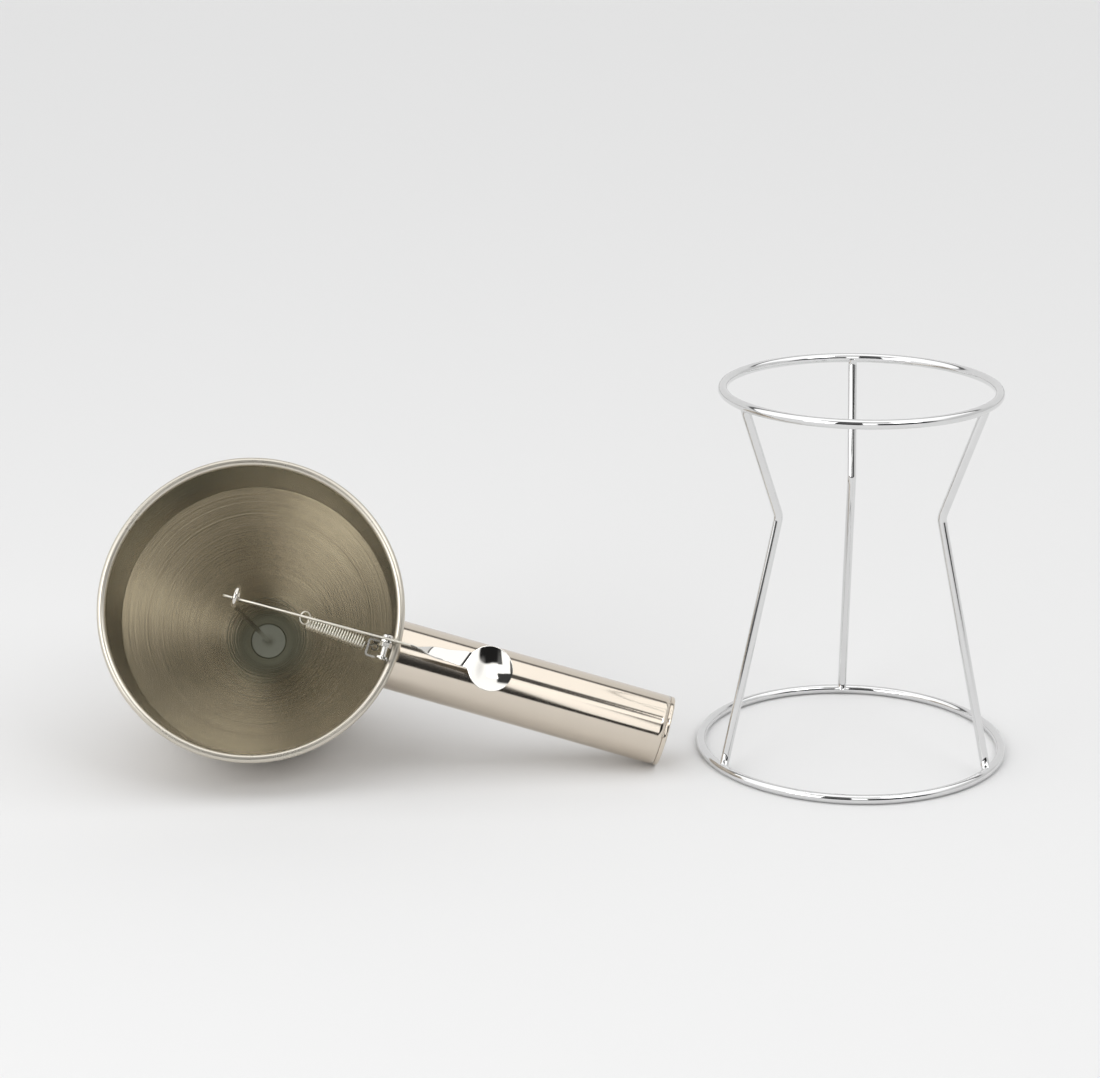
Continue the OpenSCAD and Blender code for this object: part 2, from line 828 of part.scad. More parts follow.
module stand_bottom_ring() {
    ring(bottom_ring_d, low_ring_z);
}

// A straight wire between two points of the leg's upright plane, [radius, height]
module wire(p, q) {
    translate([p[0], 0, p[1]])
        rotate([0, atan2(q[0] - p[0], q[1] - p[1]), 0])
            cylinder(r = leg_r, h = norm(q - p), $fn = 32);
}

// One leg: two straights and a bend, saddled onto both rings and welded there
module leg(angle) {
    foot = [bottom_ring_d / 2 - ring_r / 2, low_ring_z + ring_r / 2];
    waist = [waist_d / 2, low_ring_z + waist_h];
    head = [top_ring_d / 2 - ring_r / 2, top_ring_z - ring_r / 2];
    down = unit(foot - waist);
    up = unit(head - waist);
    half_turn = (180 - acos(down * up)) / 2;
    cut = bend_r * tan(half_turn);
    outward = unit(down + up);
    mid = waist + outward * bend_r / cos(half_turn);
    facing = atan2(-outward[1], -outward[0]);
    color(chrome)
        beside()
            rotate([0, 0, angle])
                difference() {
                    union() {
                        wire(waist + cut * down, foot);
                        wire(waist + cut * up, head);
                        for (q = [waist + cut * down, waist + cut * up])
                            translate([q[0], 0, q[1]])
                                sphere(r = leg_r + joint_swell, $fn = 32);
                        translate([mid[0], 0, mid[1]])
                            rotate([90, 0, 0])
                                rotate([0, 0, facing - half_turn])
                                    rotate_extrude(angle = 2 * half_turn)
                                        translate([bend_r, 0])
                                            circle(r = leg_r, $fn = 32);
                        translate([foot[0], 0, foot[1]])
                            sphere(r = weld_r, $fn = 32);
                        translate([head[0], 0, head[1]])
                            sphere(r = weld_r, $fn = 32);
                    }
                    translate([0, 0, low_ring_z])
                        rotate_extrude($fn = 128)
                            translate([bottom_ring_d / 2, 0])
                                circle(r = ring_r, $fn = 32);
                    translate([0, 0, top_ring_z])
                        rotate_extrude($fn = 128)
                            translate([top_ring_d / 2, 0])
                                circle(r = ring_r, $fn = 32);
                }
}

module stand_leg_back() {
    leg(90 + leg_turn);
}

module stand_leg_left() {
    leg(210 + leg_turn);
}

module stand_leg_right() {
    leg(330 + leg_turn);
}

funnel_bowl();
spout();
handle_tube();
handle_weld();
handle_cap();
pivot_bracket();
pivot_screw();
pivot_washer();
pivot_nut();
lever();
return_spring();
plunger_rod();
stopper();
stand_top_ring();
stand_bottom_ring();
stand_leg_back();
stand_leg_left();
stand_leg_right();
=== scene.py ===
# %% [markdown]
# # A confectioner's fondant funnel and its wire stand
# The funnel is a bowl of spun stainless steel with a rolled rim, a tube handle, and a thumb
# lever that lifts a stopper out of the outlet. It lies on its side, as it is put down on a
# table, and its stand of plated wire is beside it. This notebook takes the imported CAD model
# as a fixed frame, and dresses it: smooth surfaces, metal finishes, a studio and a camera.
# Everything is in metres, in the frame of the CAD model.

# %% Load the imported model
import json
import math

import bmesh
import bpy
import numpy as np
from mathutils import Matrix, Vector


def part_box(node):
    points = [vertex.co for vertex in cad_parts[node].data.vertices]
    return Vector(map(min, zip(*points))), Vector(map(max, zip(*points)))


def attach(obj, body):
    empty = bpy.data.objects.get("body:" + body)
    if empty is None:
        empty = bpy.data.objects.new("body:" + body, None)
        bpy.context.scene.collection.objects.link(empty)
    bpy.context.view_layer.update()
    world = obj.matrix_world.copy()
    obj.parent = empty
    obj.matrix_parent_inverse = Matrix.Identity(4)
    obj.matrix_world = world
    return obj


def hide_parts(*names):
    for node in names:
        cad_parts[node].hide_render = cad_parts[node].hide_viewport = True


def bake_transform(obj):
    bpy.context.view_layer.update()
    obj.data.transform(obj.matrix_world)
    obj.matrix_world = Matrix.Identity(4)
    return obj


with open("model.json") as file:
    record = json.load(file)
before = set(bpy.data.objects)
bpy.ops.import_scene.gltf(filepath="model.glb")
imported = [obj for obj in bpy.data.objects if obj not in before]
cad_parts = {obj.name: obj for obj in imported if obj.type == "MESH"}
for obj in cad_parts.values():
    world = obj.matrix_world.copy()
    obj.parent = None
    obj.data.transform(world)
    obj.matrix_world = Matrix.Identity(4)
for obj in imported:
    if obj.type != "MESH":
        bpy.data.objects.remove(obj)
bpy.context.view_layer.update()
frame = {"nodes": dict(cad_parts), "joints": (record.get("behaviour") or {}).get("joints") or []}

# %% [markdown]
# ## The funnel's own frame
# The bowl, the handle and the lever are easiest to describe with the funnel's mouth flat at
# z = 0, its axis upright and its handle along +x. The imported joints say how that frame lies
# on the table: the plunger slides along the funnel's axis, and the lever turns about the
# crosswise direction. So three unit vectors and one known point give the whole placement.

# %% Sizes of the funnel, in metres, as in the part's source
MM = 0.001
MOUTH_R = 70.8 * MM      # inside of the rim
BEAD_R = 2.1 * MM        # the rolled rim's own radius
BEAD_MID_R = 72.9 * MM   # middle of the rolled rim
WALL = 1.0 * MM
SHOULDER_R = 68.7 * MM   # inside, where the band meets the cone
BAND = 57.8 * MM         # depth of the band
CONE = math.radians(26)  # between the cone's wall and the axis
BORE_R = 5.3 * MM
SPOUT_R = 6.5 * MM
SPOUT_LEN = 9.2 * MM
CONE_END = BAND + (SHOULDER_R - BORE_R) / math.tan(CONE)
TIP = CONE_END + SPOUT_LEN
HANDLE_R = 17.7 * MM
HANDLE_DROP = 29.4 * MM  # the handle's axis below the mouth
HANDLE_REACH = 214 * MM
CAP_RIM = 2.4 * MM
PIVOT = np.array([68.0, 3.4, 7.0]) * MM

# %% Place the funnel's frame
joints = {j["name"]: j for j in frame["joints"]}
axis = np.array(joints["plunger_lift"]["axis"], float)
across = np.array(joints["lever_pivot"]["axis"], float)
along = np.cross(across, axis)
turn = np.stack([along, across, axis], axis=1)
turn /= np.linalg.norm(turn, axis=0)
mouth = np.array(joints["lever_pivot"]["pos_m"], float) - turn @ PIVOT


def seat(points):
    """Funnel coordinates to the table's: turn the points, then shift them by the mouth's place."""
    return np.asarray(points) @ turn.T + mouth


print("mouth at", mouth.round(4), "tilt", round(math.degrees(math.asin(axis[2])), 2))

# %% [markdown]
# ## The camera
# The photograph was matched with the stand's two rings, which are true circles: their
# ellipses give the focal length, the distance and the small roll of the camera.

# %% Camera
FOCAL_PX, IMAGE_W = 2609.5, 1100
SENSOR = 36.0
eye = bpy.data.cameras.new("photo_camera")
eye.sensor_width = SENSOR
eye.sensor_fit = "HORIZONTAL"
eye.lens = SENSOR * FOCAL_PX / IMAGE_W
camera = bpy.data.objects.new("photo_camera", eye)
bpy.context.scene.collection.objects.link(camera)
bpy.context.scene.camera = camera
PITCH, ROLL = math.radians(17.305), math.radians(-0.344)
camera.location = (-5.05 * MM, -1276.57 * MM, 498.7 * MM)
tilt_down = Matrix.Rotation(math.pi / 2 - PITCH, 4, "X") @ Matrix.Rotation(ROLL, 4, "Z")
camera.rotation_euler = tilt_down.to_euler()
print("lens", round(eye.lens, 2), "mm")

# %% [markdown]
# ## Shader maths as Python expressions
# A metal finish is mostly arithmetic on a few measures of the surface. `Val` wraps one
# socket, and its operators add Math nodes, so a pattern can be read as a formula. Any other
# node comes from `Finish.node`, which sets a node's settings first and its sockets after.


# %% Val and Finish
class Val:
    """One number in a shader; + - * / add a Math node."""

    def __init__(self, finish, socket):
        self.finish, self.socket = finish, socket

    def math(self, operation, *others):
        node = self.finish.tree.nodes.new("ShaderNodeMath")
        node.operation = operation
        for slot, value in zip(node.inputs, (self, *others)):
            self.finish.feed(slot, value)
        return Val(self.finish, node.outputs[0])

    def __add__(self, other):
        return self.math("ADD", other)

    def __sub__(self, other):
        return self.math("SUBTRACT", other)

    def __mul__(self, other):
        return self.math("MULTIPLY", other)

    def __truediv__(self, other):
        return self.math("DIVIDE", other)

    def __rsub__(self, other):
        return (self * -1.0) + other

    __radd__, __rmul__ = __add__, __mul__

    def ramp(self, low, high):
        """0 below low, 1 above high, and a smooth S between."""
        return Val(self.finish, self.finish.node(
            "ShaderNodeMapRange", {"interpolation_type": "SMOOTHSTEP"},
            {"Value": self, "From Min": low, "From Max": high}).outputs[0])


class Finish:
    """A material built on one Principled shader."""

    def __init__(self, name, **constants):
        self.material = bpy.data.materials.new(name)
        self.material.use_nodes = True
        self.tree = self.material.node_tree
        self.shader = self.tree.nodes["Principled BSDF"]
        for key, value in constants.items():
            self.shader.inputs[key.replace("_", " ")].default_value = value

    def feed(self, socket, value):
        if isinstance(value, Val):
            value = value.socket
        if isinstance(value, bpy.types.NodeSocket):
            self.tree.links.new(value, socket)
        else:
            socket.default_value = value

    def node(self, kind, settings=None, sockets=None):
        node = self.tree.nodes.new(kind)
        for key, value in (settings or {}).items():
            setattr(node, key, value)
        for key, value in (sockets or {}).items():
            self.feed(node.inputs[key], value)
        return node

    def vector(self, operation, *inputs):
        """A Vector Math node; its vector output, or its number for a dot product or length."""
        node = self.node("ShaderNodeVectorMath", {"operation": operation},
                         dict(enumerate(inputs)))
        if operation in ("DOT_PRODUCT", "LENGTH", "DISTANCE"):
            return Val(self, node.outputs["Value"])
        return node.outputs["Vector"]

    def place(self):
        return self.node("ShaderNodeTexCoord").outputs["Object"]

    def depth(self):
        """Millimetres along the funnel's axis, 0 at the mouth and negative inside."""
        offset = self.vector("SUBTRACT", self.place(), tuple(mouth))
        return self.vector("DOT_PRODUCT", offset, tuple(axis)) * 1000.0

    def noise_line(self, measure, step, detail):
        """Noise from 0 to 1 that changes only with one measure, about once every step."""
        return Val(self, self.node("ShaderNodeTexNoise", {"noise_dimensions": "1D"},
                                   {"W": measure / step, "Scale": 1.0,
                                    "Detail": detail}).outputs[0])

    def noise(self, scale, detail):
        """Cloudy noise from 0 to 1, scale cells to a metre."""
        return Val(self, self.node("ShaderNodeTexNoise", {},
                                   {"Vector": self.place(), "Scale": scale,
                                    "Detail": detail}).outputs[0])

    def tint(self, low, high, factor):
        """A colour between two colours, by a number from 0 to 1."""
        mix = self.node("ShaderNodeMix", {"data_type": "RGBA"}, {"Factor": factor})
        self.feed(mix.inputs[6], (*low, 1.0))
        self.feed(mix.inputs[7], (*high, 1.0))
        return mix.outputs[2]

    def use(self, **sockets):
        for key, value in sockets.items():
            self.feed(self.shader.inputs[key.replace("_", " ")], value)
        return self.material


print("shader helpers ready")

# %% [markdown]
# ## The metals
# Spinning leaves rings round the bowl: each is a tiny ridge, so it throws light up and down
# the wall but not round it. That is what makes the fan of light and dark inside a spun cone.
# The rings are about as fine as a pixel, so the normal is leant along the wall by a noise of
# the depth alone, instead of by a bump map. The handle, lever and rim are polished, and the
# stand is bright plating. The lever's underside is dull, and its dark colour is a painted
# shade, so that the handle mirrors it dark.

# %% Stainless steel
STEEL = (0.74, 0.665, 0.57)
FINE_RING, DRIFT = 0.11, 7.0  # millimetres of depth


def spun_steel(name, low, high, lean, rough, step=0.8):
    """Steel with rings: the normal leans along the wall by noise of the depth, and the
    tool's path shows as finer and broader rings that are a little lighter or darker."""
    f = Finish(name, Metallic=1.0)
    depth = f.depth()
    fine = f.noise_line(depth, FINE_RING, 3.0) - 0.5
    broad = f.noise_line(depth, step, 3.0) - 0.5
    drift = f.noise_line(depth, DRIFT, 2.0) - 0.5
    normal = f.node("ShaderNodeNewGeometry").outputs["Normal"]
    upright = f.vector("DOT_PRODUCT", normal, tuple(axis))
    flat = f.vector("SCALE", normal)
    f.feed(flat.node.inputs["Scale"], upright)
    up_wall = f.vector("NORMALIZE", f.vector("SUBTRACT", tuple(axis), flat))
    shift = f.vector("SCALE", up_wall)
    f.feed(shift.node.inputs["Scale"], (fine + broad) * lean)
    leant = f.vector("NORMALIZE", f.vector("ADD", normal, shift))
    cloud = f.noise(30, 3.0)
    shade = broad * 0.9 + fine * 0.3 + drift * 0.5 + cloud * 0.3 + 0.35
    return f.use(Base_Color=f.tint(low, high, shade),
                 Roughness=cloud * 0.06 + broad * 0.06 + (rough - 0.03), Normal=leant)


def polished_steel(name, tone, rough, scuff=0.04):
    """Smooth steel with faint cloudy polish marks."""
    f = Finish(name, Metallic=1.0)
    cloud = f.noise(60, 4.0)
    mark = f.noise(900, 2.0)
    low = tuple(c * 0.93 for c in tone)
    return f.use(Base_Color=f.tint(low, tone, cloud),
                 Roughness=cloud * scuff + mark * (scuff * 0.5) + rough)


cone_steel = spun_steel("spun_cone", (0.56, 0.525, 0.45), (0.82, 0.785, 0.70), 0.32, 0.18, 1.4)
band_steel = spun_steel("spun_band", (0.62, 0.585, 0.51), (0.78, 0.745, 0.67), 0.16, 0.20, 1.4)
outer_steel = spun_steel("spun_outside", (0.66, 0.60, 0.52), (0.74, 0.68, 0.60), 0.12, 0.22)
rim_steel = polished_steel("polished_rim", (0.66, 0.62, 0.54), 0.25)
handle_steel = polished_steel("polished_handle", STEEL, 0.08)
lever_steel = polished_steel("polished_lever", (0.80, 0.78, 0.74), 0.035, 0.02)
# painted shade: the lever's underside is coloured dark so that the handle mirrors a shade there
lever_underside_painted_shade = polished_steel("lever_underside_painted_shade", (0.20, 0.185, 0.16), 0.30)
lever_bar = polished_steel("lever_bar", (0.72, 0.69, 0.61), 0.25)
small_steel = polished_steel("small_steel", (0.86, 0.84, 0.80), 0.20)
bracket_edge = polished_steel("bracket_edge", (0.84, 0.82, 0.77), 0.15)
# painted shade: a dark copy of the bracket's steel for the sides of its sheet
bracket_steel = polished_steel("bracket_sheet_painted_shade", (0.26, 0.245, 0.21), 0.10)
rod_steel = polished_steel("rod_steel", (0.74, 0.71, 0.66), 0.10)
spring_steel = polished_steel("spring_wire", (0.86, 0.83, 0.75), 0.30)
print("steels ready")

# %% Bright plating and the stopper's plastic


def plating(name, rough):
    f = Finish(name, Metallic=1.0)
    cloud = f.noise(120, 3.0)
    return f.use(Base_Color=f.tint((0.72, 0.72, 0.72), (0.78, 0.78, 0.78), cloud),
                 Roughness=cloud * 0.04 + rough)


def moulded(name, low, high, rough):
    f = Finish(name)
    cloud = f.noise(150, 4.0)
    grain = f.node("ShaderNodeBump", {}, {"Height": f.noise(2500, 2.0),
                                          "Strength": 0.15, "Distance": 0.0002})
    return f.use(Base_Color=f.tint(low, high, cloud), Roughness=cloud * 0.15 + rough,
                 Normal=grain.outputs[0])


chrome = plating("bright_plating", 0.03)
stopper_grey = moulded("stopper_plastic", (0.38, 0.41, 0.35), (0.48, 0.51, 0.45), 0.4)
print("plating and plastic ready")

# %% [markdown]
# ## Surfaces on a grid
# Every new piece is a surface of two parameters. The points are worked out as one array,
# and `skin` turns the array into a mesh of four-sided faces. A grid can close on itself
# either way, as a wire's does round it, or end in a flat fan.


# %% skin: an array of points to a mesh
def skin(name, points, close_u=False, close_v=False, caps=False):
    """Mesh from points[i, j]. The sides face along d/di x d/dj; the end caps are wound the
    other way, so on an open wire they face inwards."""
    points = np.asarray(points, float)
    n_u, n_v = points.shape[:2]
    i, j = np.meshgrid(np.arange(n_u - (not close_u)), np.arange(n_v - (not close_v)),
                       indexing="ij")
    i, j = i.ravel(), j.ravel()
    i2, j2 = (i + 1) % n_u, (j + 1) % n_v
    faces = np.stack([i * n_v + j, i2 * n_v + j, i2 * n_v + j2, i * n_v + j2], axis=1)
    vertices = points.reshape(-1, 3)
    fans = []
    if caps:
        rings = (np.arange(n_v)[::-1], (n_u - 1) * n_v + np.arange(n_v))
        for ring in rings:
            centre = len(vertices)
            vertices = np.vstack([vertices, vertices[ring].mean(0)])
            fans.append(np.stack([ring, np.full(n_v, centre), np.roll(ring, -1)], axis=1)[:, ::-1])
    mesh = bpy.data.meshes.new(name)
    quads = faces.ravel()
    tris = np.concatenate(fans).ravel() if fans else np.zeros(0, int)
    sizes = np.concatenate([np.full(len(faces), 4), np.full(len(tris) // 3, 3)])
    mesh.vertices.add(len(vertices))
    mesh.vertices.foreach_set("co", vertices.astype(np.float32).ravel())
    mesh.loops.add(len(quads) + len(tris))
    mesh.loops.foreach_set("vertex_index", np.concatenate([quads, tris]).astype(np.int32))
    mesh.polygons.add(len(sizes))
    mesh.polygons.foreach_set("loop_start", (np.cumsum(sizes) - sizes).astype(np.int32))
    mesh.polygons.foreach_set("use_smooth", np.ones(len(sizes), bool))
    mesh.update(calc_edges=True)
    mesh.validate()
    obj = bpy.data.objects.new(name, mesh)
    bpy.context.scene.collection.objects.link(obj)
    return obj


def round_axis(profile, turns):
    """Turn a profile of (radius, height) about the z axis: x = r cos t, y = r sin t, z = h."""
    angle = np.linspace(0, 2 * np.pi, turns, endpoint=False)
    r, h = np.asarray(profile, float).T
    return np.stack([np.outer(np.cos(angle), r), np.outer(np.sin(angle), r),
                     np.broadcast_to(h, (turns, len(h)))], axis=-1)


def arc(centre, radius, start, end, count):
    """Points of (r, h) on a circle, from one angle to another in degrees."""
    a = np.radians(np.linspace(start, end, count))
    return np.stack([centre[0] + radius * np.cos(a), centre[1] + radius * np.sin(a)], axis=1)


def wire(path, radius, sides, closed=False):
    """A round wire along a path: each ring of points stands square to the path, and its
    side vector is carried on from the ring before with as little turn as possible."""
    path = np.asarray(path, float)
    ahead, behind = np.roll(path, -1, axis=0), np.roll(path, 1, axis=0)
    if not closed:
        ahead[-1], behind[0] = path[-1], path[0]
    heading = ahead - behind
    heading /= np.linalg.norm(heading, axis=1)[:, None]
    side = np.zeros_like(path)
    guess = np.cross(heading[0], [0.0, 0.0, 1.0])
    if np.linalg.norm(guess) < 0.1:
        guess = np.cross(heading[0], [1.0, 0.0, 0.0])
    for k in range(len(path)):
        guess = guess - (guess @ heading[k]) * heading[k]
        guess /= np.linalg.norm(guess)
        side[k] = guess
    other = np.cross(side, heading)
    angle = np.linspace(0, 2 * np.pi, sides, endpoint=False)
    radius = np.broadcast_to(radius, len(path))[:, None, None]
    return path[:, None] + radius * (np.cos(angle)[None, :, None] * side[:, None]
                                     + np.sin(angle)[None, :, None] * other[:, None])


def finish(obj, material, body, slot, *nodes):
    """Paint a piece, hide the CAD nodes it stands for, and let it ride. The slot is not used."""
    obj.data.materials.append(material)
    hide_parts(*nodes)
    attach(obj, body)
    print(obj.name, len(obj.data.polygons), "faces")
    return obj


# %% [markdown]
# ## The bowl
# A spun bowl is a surface of revolution, so one profile makes it all: up the outside of the
# cone and the band, round the rolled rim, and down the inside. The sheet is bent, not cut,
# at the shoulder, so the profile has a small radius there. Each stretch of the profile gets
# its own finish.

# %% Bowl profile
OUTER_BEND, INNER_BEND = 1.6 * MM, 0.9 * MM
BOWL_TURNS = 480
slope = (MOUTH_R - SHOULDER_R) / BAND
grow = math.tan(CONE)


def stretch(start, end, count):
    """Straight stretch of a profile, its last point left to the next stretch."""
    t = np.linspace(0, 1, count, endpoint=False)[:, None]
    return np.array(start) * (1 - t) + np.array(end) * t


def corner(before, at, after, radius, count=7):
    """Round a corner of a profile with an arc that touches both sides."""
    before, at, after = map(np.array, (before, at, after))
    p, q = before - at, after - at
    p, q = p / np.linalg.norm(p), q / np.linalg.norm(q)
    half = math.acos(float(p @ q)) / 2
    reach = radius / math.tan(half)
    middle = at + (p + q) / np.linalg.norm(p + q) * radius / math.sin(half)
    a0 = math.atan2(*(at + p * reach - middle)[::-1])
    a1 = math.atan2(*(at + q * reach - middle)[::-1])
    swing = (a1 - a0 + math.pi) % (2 * math.pi) - math.pi
    a = a0 + swing * np.linspace(0, 1, count)
    return np.stack([middle[0] + radius * np.cos(a), middle[1] + radius * np.sin(a)], axis=1)


out_w = WALL / math.cos(CONE)
lift = (out_w - WALL) / (slope - grow)
outer_corner = (SHOULDER_R + lift * slope + WALL, -BAND + lift)
outer_low = (BORE_R + out_w, -CONE_END)
curl = math.degrees(math.acos((MOUTH_R + WALL - BEAD_MID_R) / BEAD_R))
bead_join = (MOUTH_R + WALL, -BEAD_R * math.sin(math.radians(curl)))
inner_top = (MOUTH_R, 0.0)
inner_corner = (SHOULDER_R, -BAND)
inner_low = (BORE_R, -CONE_END)
outer_bend = corner(outer_low, outer_corner, bead_join, OUTER_BEND)
outside = np.vstack([stretch(outer_low, outer_bend[0], 24), outer_bend[:-1],
                     stretch(outer_bend[-1], bead_join, 16)])
bead = arc((BEAD_MID_R, 0), BEAD_R, -curl, 180, 34)[:-1]
bend = corner(inner_top, inner_corner, inner_low, INNER_BEND)
band = stretch(inner_top, bend[0], 22)
cone = np.vstack([bend, stretch(bend[-1], inner_low, 60)[1:], [inner_low]])
bowl_profile = np.vstack([outside, bead, band, cone])
print("profile points", len(bowl_profile))

# %% Bowl
bowl = skin("bowl", seat(round_axis(bowl_profile, BOWL_TURNS)), close_u=True, close_v=True)
for metal in (outer_steel, rim_steel, band_steel, cone_steel):
    bowl.data.materials.append(metal)
zone = np.repeat([0, 1, 2, 3], [len(outside), len(bead), len(band), len(cone)])
bowl.data.polygons.foreach_set("material_index", np.tile(zone, BOWL_TURNS).astype(np.int32))
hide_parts("funnel_bowl")
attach(bowl, "funnel")
print("bowl", len(bowl.data.polygons), "faces")

# %% [markdown]
# ## The spout
# A short drawn tube, brazed to the cone. Its lip is rounded, because food work leaves no
# sharp edge.

# %% Spout
SMALL_TURNS, EDGE_BREAK = 96, 0.1 * MM
lip = (SPOUT_R - BORE_R) / 2
lip_mid = (BORE_R + lip, -TIP + lip)
spout_profile = np.vstack([
    arc(lip_mid, lip, 180, 360, 12),
    stretch((SPOUT_R, -TIP + lip), (SPOUT_R, -CONE_END), 8)[1:],
    [(SPOUT_R, -CONE_END), (BORE_R + EDGE_BREAK, -CONE_END)],
    stretch((BORE_R, -CONE_END - EDGE_BREAK), (BORE_R, -TIP + lip), 8)])
finish(skin("spout_tube", seat(round_axis(spout_profile, SMALL_TURNS)),
            close_u=True, close_v=True),
       outer_steel, "funnel", "bowl_steel", "spout")

# %% [markdown]
# ## The handle
# A length of tube with one end cut to the bowl's curve and welded on, and the other closed
# by a pressed cap. Along the tube the start of each line of points depends on where that
# line meets the band: x = sqrt(R(z)^2 - y^2), with R(z) the band's outer radius.


# %% Handle tube
def saddle(y, z):
    """x at which a line along the handle meets the band's outside."""
    radius = MOUTH_R + WALL + z * slope
    return np.sqrt(radius ** 2 - y ** 2)


def along_handle(radius, angle):
    """y and z of the line at that angle round the handle's axis."""
    return radius * np.cos(angle), -HANDLE_DROP + radius * np.sin(angle)


HANDLE_LINES, HANDLE_STEPS = 240, 60
angle = np.linspace(0, 2 * np.pi, HANDLE_LINES, endpoint=False)
tube_end = HANDLE_REACH - CAP_RIM
outer_y, outer_z = along_handle(HANDLE_R, angle)
inner_y, inner_z = along_handle(HANDLE_R - WALL, angle)
share = np.linspace(0, 1, HANDLE_STEPS)[:, None]
outer_x = saddle(outer_y, outer_z) * (1 - share) + tube_end * share
inner_x = saddle(inner_y, inner_z) * share + tube_end * (1 - share)
# In this order of points the tube's faces point inwards.
tube = np.concatenate([np.stack([outer_x, outer_y + 0 * outer_x, outer_z + 0 * outer_x], -1),
                       np.stack([inner_x, inner_y + 0 * inner_x, inner_z + 0 * inner_x], -1)])
finish(skin("handle_skin", seat(tube), close_u=True, close_v=True),
       handle_steel, "funnel", "handle_steel", "handle_tube")


# %% Handle cap
def about_handle(profile, turns):
    """Turn a profile of (radius, distance from the bowl's axis) about the handle."""
    p = round_axis(profile, turns)
    return np.stack([p[..., 2], p[..., 0], p[..., 1] - HANDLE_DROP], axis=-1)


ROUND, PLAY, PLUG_LEN, CAP_T = 1.0 * MM, 0.05 * MM, 8 * MM, 1.2 * MM
SEAM_R, MIDDLE_R, CAP_TURNS = 0.3 * MM, 0.4 * MM, 160  # the profile ends at MIDDLE_R
plug = HANDLE_R - WALL - PLAY
cap_profile = np.vstack([
    [(plug, tube_end - PLUG_LEN), (plug, tube_end - PLAY)],
    [(HANDLE_R - 0.45 * MM, tube_end + 0.02 * MM)],
    arc((HANDLE_R - SEAM_R, tube_end + 0.42 * MM), SEAM_R, -80, 0, 5),
    arc((HANDLE_R - ROUND, HANDLE_REACH - ROUND), ROUND, 0, 90, 9),
    [(HANDLE_R * 0.6, HANDLE_REACH), (MIDDLE_R, HANDLE_REACH)],
    [(MIDDLE_R, HANDLE_REACH - CAP_T), (plug - WALL, HANDLE_REACH - CAP_T)],
    [(plug - WALL, tube_end - PLUG_LEN)]])
finish(skin("handle_end_cap", seat(about_handle(cap_profile, CAP_TURNS)),
            close_u=True, close_v=True),
       handle_steel, "funnel", "handle_steel", "handle_cap")

# %% [markdown]
# ## The lever
# One strip of steel. Over the bowl it stands on edge, so that it is stiff. Outside the rim
# it is twisted by 71 degrees, and then bent up a little and down again, so that the thumb
# gets a dished pad. It is easiest to describe as a flat sheet first: how wide it is at each
# place, and how deep the pad is dished. Then the sheet is folded at its two bends, twisted,
# and tipped about the pivot, each step a formula on the whole array of points.

# %% Lever sizes
DIP = math.radians(9)
STRIP_T, STRIP_H, TIP_H = 1.0 * MM, 6.2 * MM, 4.0 * MM
TIP_X, EYE_X, HOOK_X, HOOK_LOW = 15.8 * MM, 9.2 * MM, 23.8 * MM, 1.1 * MM
NARROW, TAPER = 16 * MM, 6 * MM
TWIST_START, TWIST_END, TWIST = 12.5 * MM, 28.5 * MM, math.radians(71)
NECK, NECK_END = 3.0 * MM, 4.2 * MM
CREASE_AT, CREASE_HALF, CREASE = 29.6 * MM, 0.6 * MM, math.radians(8)
FOLD_AT, FOLD_HALF, FOLD, SLANT = 40.2 * MM, 1.2 * MM, math.radians(-28), math.radians(17)
PAD_REACH, PAD_R, PAD_DISH = 53.0 * MM, 11.3 * MM, 1.6 * MM
NECK_BLEND = 2.2 * MM ** 2  # an area
EDGE, ACROSS = 0.35 * MM, 49
tip_reach = (PIVOT[0] + TIP_X) / math.cos(DIP)
pad_end = PAD_REACH + PAD_R


def ramp(x, a, b):
    """0 before a, 1 after b, and a smooth S between them."""
    t = np.clip((x - a) / (b - a), 0, 1)
    return t * t * (3 - 2 * t)


def half_width(x):
    """Half the strip's width: round tip, tapered bar, neck, then the round pad."""
    taper = np.clip((x + tip_reach - NARROW + TAPER) / TAPER, 0, 1)
    bar = TIP_H / 2 + (STRIP_H - TIP_H) / 2 * taper
    neck = NECK + (NECK_END - NECK) * ramp(x, CREASE_AT, FOLD_AT)
    disc = np.sqrt(np.maximum(0, PAD_R ** 2 - (x - PAD_REACH) ** 2))
    both = (neck + disc + np.sqrt((neck - disc) ** 2 + NECK_BLEND)) / 2
    flat = np.where(x < PAD_REACH, np.minimum(PAD_R, both), disc)
    width = bar + (flat - bar) * ramp(x, TWIST_START, TWIST_END)
    nose = np.sqrt(np.maximum(0, 1 - ((TIP_H / 2 - tip_reach - x) / (TIP_H / 2)) ** 2))
    return np.where(x < TIP_H / 2 - tip_reach, TIP_H / 2 * nose, width)


def fold(p, at, slant, half, angle):
    """Bend a sheet beyond a slanting line: q is the distance past the line, and from -half
    to half it runs round an arc; after that it goes on straight, turned by the angle."""
    c, s = math.cos(slant), math.sin(slant)
    q = (p[..., 0] - at) * c - p[..., 1] * s
    line = (p[..., 0] - at) * s + p[..., 1] * c
    r, t = 2 * half / angle, angle * np.clip((q + half) / (2 * half), 0, 1)
    over = np.maximum(q - half, 0)
    bent = -half + r * np.sin(t) + over * np.cos(t) - p[..., 2] * np.sin(t)
    high = r * (1 - np.cos(t)) + over * np.sin(t) + p[..., 2] * np.cos(t)
    q, up = np.where(q < -half, q, bent), np.where(q < -half, p[..., 2], high)
    return np.stack([at + q * c + line * s, line * c - q * s, up], axis=-1)


